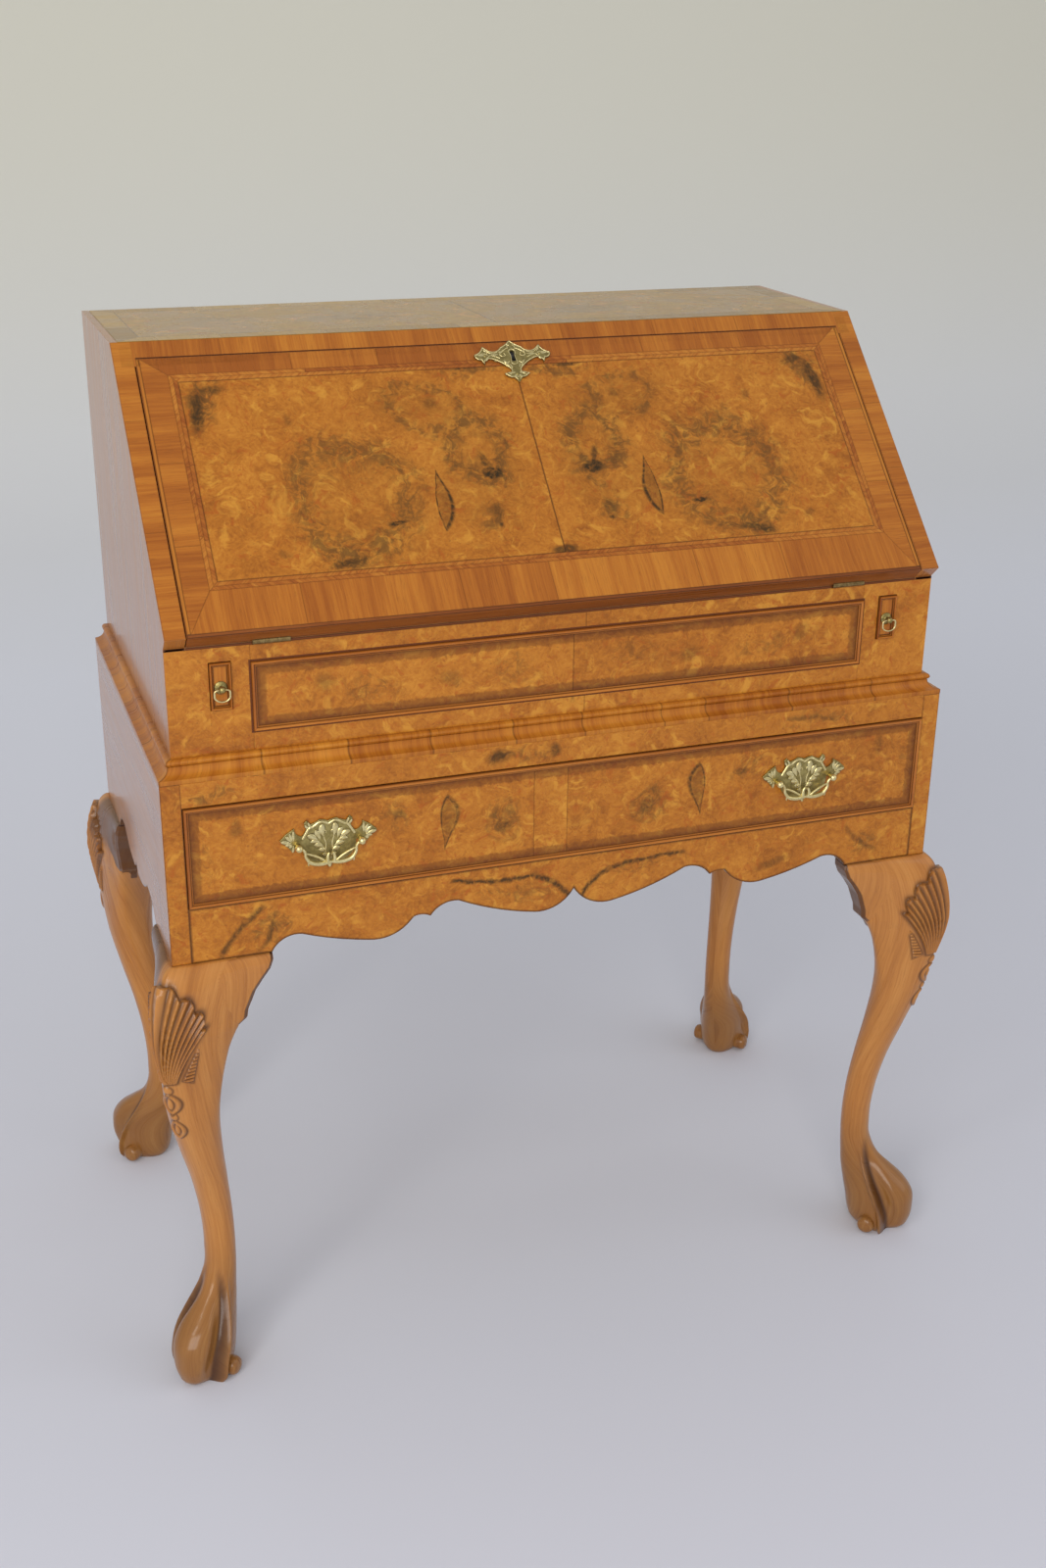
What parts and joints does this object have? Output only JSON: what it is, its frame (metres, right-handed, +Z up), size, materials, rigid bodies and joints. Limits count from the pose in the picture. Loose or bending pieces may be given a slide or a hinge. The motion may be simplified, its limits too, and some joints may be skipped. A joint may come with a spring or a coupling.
{
  "type": "slant-front bureau on stand",
  "caption": "Slant-front writing bureau on a cabriole-legged stand, with a hinged fall, pull-out lopers, pigeonholes and a long drawer with drop handles.",
  "frame": {"origin": "on the floor under the middle of the stand", "axes": "+X to the sitter's right, +Y to the back, +Z up; the front faces -Y"},
  "size_m": [0.8464, 0.4844, 1],
  "materials": {
    "burr_walnut": "french polish",
    "walnut_veneer": "french polish",
    "walnut_bead": "french polish",
    "carved_walnut": "wax polish",
    "inner_walnut": "satin",
    "oak": "bare",
    "brass": "aged polish",
    "steel": "satin",
    "writing_leather": "tooled"
  },
  "bodies": {
    "case": {"case_side_left": "walnut_veneer", "case_side_right": "walnut_veneer", "case_top": "walnut_veneer", "case_bottom": "oak", "case_back": "oak", "writing_bed": "walnut_veneer", "front_panel": "burr_walnut", "front_panel_bead": "walnut_bead", "loper_partitions": "oak", "loper_runners": "oak", "bed_hinge_leaves": "brass", "bed_hinge_screws": "brass", "hinge_pins": "brass", "lock_strike_plate": "brass", "fall_stops": "inner_walnut", "pigeonhole_shelves": "inner_walnut", "pigeonhole_dividers": "inner_walnut", "pigeonhole_valances": "inner_walnut", "waist_moulding": "walnut_veneer", "stand_side_left": "walnut_veneer", "stand_side_right": "walnut_veneer", "stand_back_rail": "oak", "stand_top_rail": "walnut_veneer", "front_apron": "burr_walnut", "leg_back_left": "carved_walnut", "leg_back_right": "carved_walnut", "leg_front_left": "carved_walnut", "leg_front_right": "carved_walnut", "knee_brackets_back": "carved_walnut", "knee_brackets_front": "carved_walnut", "drawer_runners": "oak"},
    "fall": {"fall_board": "burr_walnut", "fall_leather": "writing_leather", "fall_hinge_leaves": "brass", "fall_hinge_screws": "brass", "fall_lock_case": "brass", "escutcheon": "brass"},
    "lock_bolt": {"lock_bolt": "steel"},
    "well_cover": {"well_cover": "inner_walnut"},
    "drawer": {"drawer_front": "burr_walnut", "drawer_bead": "walnut_bead", "drawer_sides": "oak", "drawer_back": "oak", "drawer_bottom": "oak", "handle_plates": "brass", "handle_posts": "brass"},
    "loper_left": {"loper_left": "walnut_bead", "loper_bead_left": "walnut_bead", "loper_pull_left": "brass"},
    "loper_ring_left": {"loper_ring_left": "brass"},
    "small_drawer_left": {"small_drawer_left": "inner_walnut", "small_knob_left": "brass"},
    "bail_left": {"bail_left": "brass"},
    "loper_right": {"loper_right": "walnut_bead", "loper_bead_right": "walnut_bead", "loper_pull_right": "brass"},
    "loper_ring_right": {"loper_ring_right": "brass"},
    "small_drawer_right": {"small_drawer_right": "inner_walnut", "small_knob_right": "brass"},
    "bail_right": {"bail_right": "brass"}
  },
  "joints": [
    {"name": "fall_hinge", "type": "hinge", "parent": "case", "child": "fall", "pos_m": [0, -0.2003, 0.77], "axis": [1, 0, 0], "range_deg": [0, 135.12]},
    {"name": "lock_bolt_slide", "type": "slide", "parent": "fall", "child": "lock_bolt", "axis": [0, 0.7086, 0.7056], "range_m": [0, 0.008]},
    {"name": "well_cover_slide", "type": "slide", "parent": "case", "child": "well_cover", "axis": [0, 1, 0], "range_m": [0, 0.125]},
    {"name": "drawer_slide", "type": "slide", "parent": "case", "child": "drawer", "axis": [0, -1, 0], "range_m": [0, 0.3]},
    {"name": "loper_left_slide", "type": "slide", "parent": "case", "child": "loper_left", "axis": [0, -1, 0], "range_m": [0, 0.22]},
    {"name": "loper_ring_left_swing", "type": "hinge", "parent": "loper_left", "child": "loper_ring_left", "pos_m": [-0.33375, -0.207, 0.7301], "axis": [-1, 0, 0], "range_deg": [0, 85]},
    {"name": "small_drawer_left_slide", "type": "slide", "parent": "case", "child": "small_drawer_left", "axis": [0, -1, 0], "range_m": [0, 0.13]},
    {"name": "bail_left_swing", "type": "hinge", "parent": "drawer", "child": "bail_left", "pos_m": [-0.245, -0.224, 0.575], "axis": [-1, 0, 0], "range_deg": [0, 95]},
    {"name": "loper_right_slide", "type": "slide", "parent": "case", "child": "loper_right", "axis": [0, -1, 0], "range_m": [0, 0.22]},
    {"name": "loper_ring_right_swing", "type": "hinge", "parent": "loper_right", "child": "loper_ring_right", "pos_m": [0.33375, -0.207, 0.7301], "axis": [-1, 0, 0], "range_deg": [0, 85]},
    {"name": "small_drawer_right_slide", "type": "slide", "parent": "case", "child": "small_drawer_right", "axis": [0, -1, 0], "range_m": [0, 0.13]},
    {"name": "bail_right_swing", "type": "hinge", "parent": "drawer", "child": "bail_right", "pos_m": [0.245, -0.224, 0.575], "axis": [-1, 0, 0], "range_deg": [0, 95]}
  ]
}
